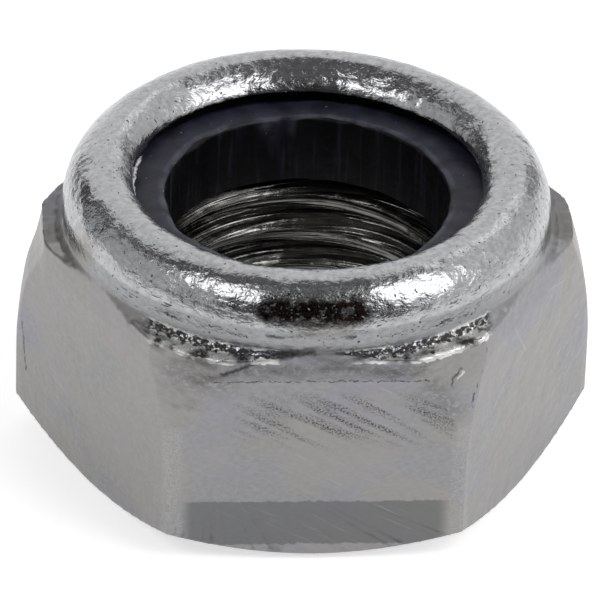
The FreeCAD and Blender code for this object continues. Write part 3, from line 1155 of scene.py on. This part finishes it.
    def tap(self) -> bpy.types.Object:
        """The right-hand coil that a tap's teeth sweep.

        The groove's bottom is flat over an eighth of the pitch, half of it on each side.

        Returns:
            The coil as a solid, a little longer than the bore at both ends.
        """
        inner = self.bore_radius - self.tap_overlap
        flank = math.tan(math.radians(self.flank_angle))
        root = self.thread_pitch / 16
        half = root + (self.thread_radius - inner) * flank
        tooth = [(inner, -half), (self.thread_radius, -root), (self.thread_radius, root), (inner, half)]
        coil = draw_section("tap", [(across, height + self.thread_start) for across, height in tooth])
        apply_modifier(
            coil, "SCREW", axis="Z", angle=FULL_TURN, screw_offset=self.thread_pitch,
            iterations=self.thread_turns, steps=self.thread_steps, use_merge_vertices=True,
        )
        bpy.ops.object.mode_set(mode="EDIT")
        bpy.ops.mesh.select_all(action="DESELECT")
        mesh = bmesh.from_edit_mesh(coil.data)
        for edge in mesh.edges:
            edge.select = edge.is_boundary
        bmesh.update_edit_mesh(coil.data)
        bpy.ops.mesh.edge_face_add()
        bpy.ops.mesh.select_all(action="SELECT")
        bpy.ops.mesh.normals_make_consistent(inside=False)
        bpy.ops.object.mode_set(mode="OBJECT")
        return coil

    def roll_further(self, nut: bpy.types.Object) -> None:
        """Bring the lip further in and down at the back, where the tool pressed it harder.

        Args:
            nut: the forged and tapped nut.
        """
        def depth(place: Vector) -> float:
            """How far the tool went at a place, 1 at the lip's edge at the back."""
            inward = smooth_step(math.hypot(place.x, place.y), *self.rolled_radii)
            upper = smooth_step(place.z, *self.rolled_heights)
            return inward * upper * smooth_step(place.y, *self.rolled_inward)

        mark_places(nut, "deep_roll", depth)
        for direction, travel in (("Y", -self.roll_in), ("Z", -self.roll_down)):
            apply_modifier(
                nut, "DISPLACE", direction=direction, strength=travel, mid_level=0.0, vertex_group="deep_roll"
            )

    def blunt_corner(self, nut: bpy.types.Object) -> None:
        """Wear down the top of the left corner, which took a knock.

        Args:
            nut: the forged and tapped nut.
        """
        def depth(place: Vector) -> float:
            """How far the corner gave way at a place, 1 at its tip."""
            outward = smooth_step(-place.x, *self.knock_reach) * smooth_step(abs(place.y), *self.knock_width)
            return outward * smooth_step(place.z, *self.knock_foot) * smooth_step(place.z, *self.knock_top)

        mark_places(nut, "blunted", depth)
        apply_modifier(
            nut, "DISPLACE", direction="X", strength=self.knock, mid_level=0.0, vertex_group="blunted"
        )

    def burr(self) -> bpy.types.Object:
        """A thin curl of steel that the rolling tool left between the lip and the ring.

        Returns:
            The curl, whose front end sits in the lip.
        """
        left, right = self.burr_bearings
        last_side = 360 - 360 / self.burr_sides
        section = arc(self.burr_place, self.burr_thickness, 0, last_side, self.burr_sides - 1)
        curl = draw_section("burr", section)
        make_active(curl)
        # The section is drawn on +X, which is a bearing of 90
        curl.rotation_euler = (0, 0, math.radians(right - 90))
        bpy.ops.object.transform_apply(location=False, rotation=True, scale=False)
        bpy.ops.object.mode_set(mode="EDIT")
        bpy.ops.mesh.select_all(action="SELECT")
        bpy.ops.mesh.edge_face_add()
        bpy.ops.mesh.spin(
            steps=self.burr_steps, angle=math.radians(right - left), center=self.burr_centre, axis=(0, 0, 1)
        )
        bpy.ops.mesh.select_all(action="SELECT")
        bpy.ops.mesh.normals_make_consistent(inside=False)
        bpy.ops.object.mode_set(mode="OBJECT")
        self.curl.shape(curl)
        return curl

    def build(self) -> bpy.types.Object:
        """Forge, tap and plate the nut.

        Returns:
            The finished piece.
        """
        nut = draw_section("forged_nut", self.section())
        turn_section(nut, self.turn_steps)
        cut_with(nut, self.hexagon(), Cut.KEEP_INSIDE)
        cut_with(nut, self.tap(), Cut.TAKE_AWAY)
        apply_modifier(nut, "REMESH", mode="VOXEL", voxel_size=self.skin, adaptivity=0.0)
        self.roll_further(nut)
        self.blunt_corner(nut)
        for zone in self.unevenness:
            zone.shape(nut)
        apply_modifier(nut, "DECIMATE", ratio=self.kept_share)
        curl = self.burr()
        make_active(nut)
        curl.select_set(True)
        bpy.ops.object.join()
        settle(nut, "nut_body", self.finish.material(), crease=180)
        apply_modifier(nut, "WEIGHTED_NORMAL", mode="FACE_AREA", weight=50, keep_sharp=False)
        return nut


@dataclass
class InsertRing:
    """The polyamide ring that the lip holds on its seat."""

    outer_radius: float = 9.87
    bore_radius: float = 6.75
    foot: float = 9.3
    top: float = 12.96
    dish: float = 0.12
    edge_rounding: float = 0.25
    edge_steps: int = 6
    turn_steps: int = 256
    waves: Unevenness = Unevenness("squeezed_bore", (6.0, 7.2), (9.5, 13.5), 0.3, 2.2, 0.45)
    finish: MouldedPolyamide = field(default_factory=MouldedPolyamide)

    def section(self) -> list[Point]:
        """The ring's section, from its foot up the outside and down the bore.

        Returns:
            The corners as (radius, height).
        """
        edge = (self.bore_radius + self.edge_rounding, self.top - self.dish - self.edge_rounding)
        return [
            (self.bore_radius, self.foot),
            (self.outer_radius, self.foot),
            (self.outer_radius, self.top),
            *arc(edge, self.edge_rounding, 90, 180, self.edge_steps),
        ]

    def build(self) -> bpy.types.Object:
        """Mould the ring.

        Returns:
            The finished piece.
        """
        ring = draw_section("insert_ring", self.section())
        turn_section(ring, self.turn_steps)
        self.waves.shape(ring)
        settle(ring, "nylon_insert", self.finish.material(), crease=40)
        return ring


# The studio


def toward(bearing: float, elevation: float) -> Vector:
    """The way from the nut to a lamp or to the camera.

    Args:
        bearing: turns from -Y, where the camera is, to +X, in degrees.
        elevation: angle above the floor, in degrees.

    Returns:
        The way, one unit long.
    """
    turn, rise = math.radians(bearing), math.radians(elevation)
    return Vector((math.sin(turn) * math.cos(rise), -math.cos(turn) * math.cos(rise), math.sin(rise)))


@dataclass(frozen=True)
class Softbox:
    """A soft lamp that faces the nut, with its sizes and distance in metres."""

    name: str
    bearing: float
    elevation: float
    distance: float
    width: float
    height: float
    radiance: float

    def build(self) -> None:
        """Hang the lamp and aim it at the nut."""
        direction = toward(self.bearing, self.elevation)
        lamp = bpy.data.lights.new(self.name, "AREA")
        lamp.shape = "RECTANGLE"
        lamp.size = self.width
        lamp.size_y = self.height
        lamp.energy = self.radiance * math.pi * self.width * self.height
        holder = bpy.data.objects.new(self.name, lamp)
        bpy.context.scene.collection.objects.link(holder)
        holder.location = direction * self.distance
        holder.rotation_euler = (-direction).to_track_quat("-Z", "Y").to_euler()
        holder.visible_camera = False


@dataclass
class Studio:
    """A pale floor, soft lamps round the nut, a dark card and the photograph's camera.

    The camera and the card are measured in millimetres, the floor and the lamps in metres.
    """

    bearing: float = -4.14
    elevation: float = 34.67
    distance: float = 347.4
    aim: Place = (-0.182, 0.013, 6.725)
    roll: float = 1.88
    lens: float = 429.1
    clip: Span = (10.0, 100000.0)
    floor_size: float = 30.0
    floor_colour: str = "f0f0f0"
    floor_glow: float = 0.56
    fill: float = 0.03
    card_colour: str = "666666"
    card_reach: Span = (-300.0, -70.0)
    card_width: float = 44.0
    card_height: float = 0.3
    lamps: tuple[Softbox, ...] = (
        Softbox("backdrop", 180, 34, 0.8, 1.05, 1.2, 1.0),
        Softbox("right_panel", 92, 22, 0.8, 1.6, 1.45, 0.84),
        Softbox("left_panel", -84, 12, 0.8, 1.15, 1.1, 0.6),
        Softbox("overhead", 0, 90, 0.8, 0.5, 0.5, 0.1),
        Softbox("right_key", 58, 45, 0.6, 0.3, 0.34, 3.2),
        Softbox("left_key", -50, 51, 0.6, 0.22, 0.23, 4.0),
    )

    def build_floor(self) -> None:
        """Lay the floor, which camera and glossy rays see a little brighter than it is lit."""
        deselect_all()
        bpy.ops.mesh.primitive_plane_add(size=self.floor_size)
        floor = bpy.context.object
        floor.name = "floor"
        made = bpy.data.materials.new("white_sweep")
        made.use_nodes = True
        tree = made.node_tree
        tree.nodes.remove(tree.nodes["Principled BSDF"])
        paper = add_node(tree, "ShaderNodeBsdfDiffuse", {"Color": linear(self.floor_colour)}).outputs[0]
        ray = add_node(tree, "ShaderNodeLightPath")
        seen = add_node(
            tree, "ShaderNodeMath",
            {0: ray.outputs["Is Camera Ray"], 1: ray.outputs["Is Glossy Ray"]}, operation="MAXIMUM",
        ).outputs[0]
        either = add_node(
            tree, "ShaderNodeMath", {0: seen, 1: ray.outputs["Is Transmission Ray"]}, operation="MAXIMUM"
        ).outputs[0]
        strength = add_node(
            tree, "ShaderNodeMath", {0: either, 1: self.floor_glow}, operation="MULTIPLY"
        ).outputs[0]
        glow = add_node(tree, "ShaderNodeEmission", {"Strength": strength}).outputs[0]
        both = add_node(tree, "ShaderNodeAddShader", {0: paper, 1: glow}).outputs[0]
        tree.links.new(both, tree.nodes["Material Output"].inputs["Surface"])
        floor.data.materials.append(made)

    def build_card(self) -> None:
        """Lay a dark card on the floor in front, which only reflections in the collar show."""
        deselect_all()
        near, far = self.card_reach
        bpy.ops.mesh.primitive_plane_add(size=1, location=(0, (near + far) / 2 * MM, self.card_height * MM))
        card = bpy.context.object
        card.name = "dark_card"
        card.scale = (self.card_width * MM, (far - near) * MM, 1)
        made = bpy.data.materials.new("dark_card")
        made.use_nodes = True
        shader = made.node_tree.nodes["Principled BSDF"]
        shader.inputs["Base Color"].default_value = linear(self.card_colour)
        shader.inputs["Roughness"].default_value = 1.0
        card.data.materials.append(made)
        card.visible_camera = False
        card.visible_shadow = False

    def build_world(self) -> None:
        """Fill the dark room with a little even light."""
        world = bpy.data.worlds.new("room")
        bpy.context.scene.world = world
        world.use_nodes = True
        back = world.node_tree.nodes["Background"]
        back.inputs["Color"].default_value = (1, 1, 1, 1)
        back.inputs["Strength"].default_value = self.fill

    def build_camera(self) -> None:
        """Set up the photograph's camera."""
        data = bpy.data.cameras.new("photo_camera")
        data.sensor_width = PHOTO_SENSOR
        data.lens = self.lens
        data.clip_start, data.clip_end = [reach * MM for reach in self.clip]
        camera = bpy.data.objects.new("photo_camera", data)
        bpy.context.scene.collection.objects.link(camera)
        camera.location = toward(self.bearing, self.elevation) * self.distance * MM
        gaze = Vector(self.aim) * MM - camera.location
        camera.rotation_mode = "QUATERNION"
        camera.rotation_quaternion = gaze.to_track_quat("-Z", "Y") @ Quaternion(
            (0, 0, 1), math.radians(self.roll)
        )
        bpy.context.scene.camera = camera

    def build(self) -> None:
        """Set up the floor, the light and the camera."""
        self.build_floor()
        self.build_card()
        self.build_world()
        for lamp in self.lamps:
            lamp.build()
        self.build_camera()
        bpy.context.scene.view_settings.view_transform = "Standard"


def main() -> None:
    """Build the studio and the two pieces."""
    logging.basicConfig(level=logging.INFO, format="%(message)s")
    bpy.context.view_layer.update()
    Studio().build()
    for piece in (ForgedNut(), InsertRing()):
        made = piece.build()
        log.info("%s: %d faces", made.name, len(made.data.polygons))


if __name__ == "__main__":
    main()
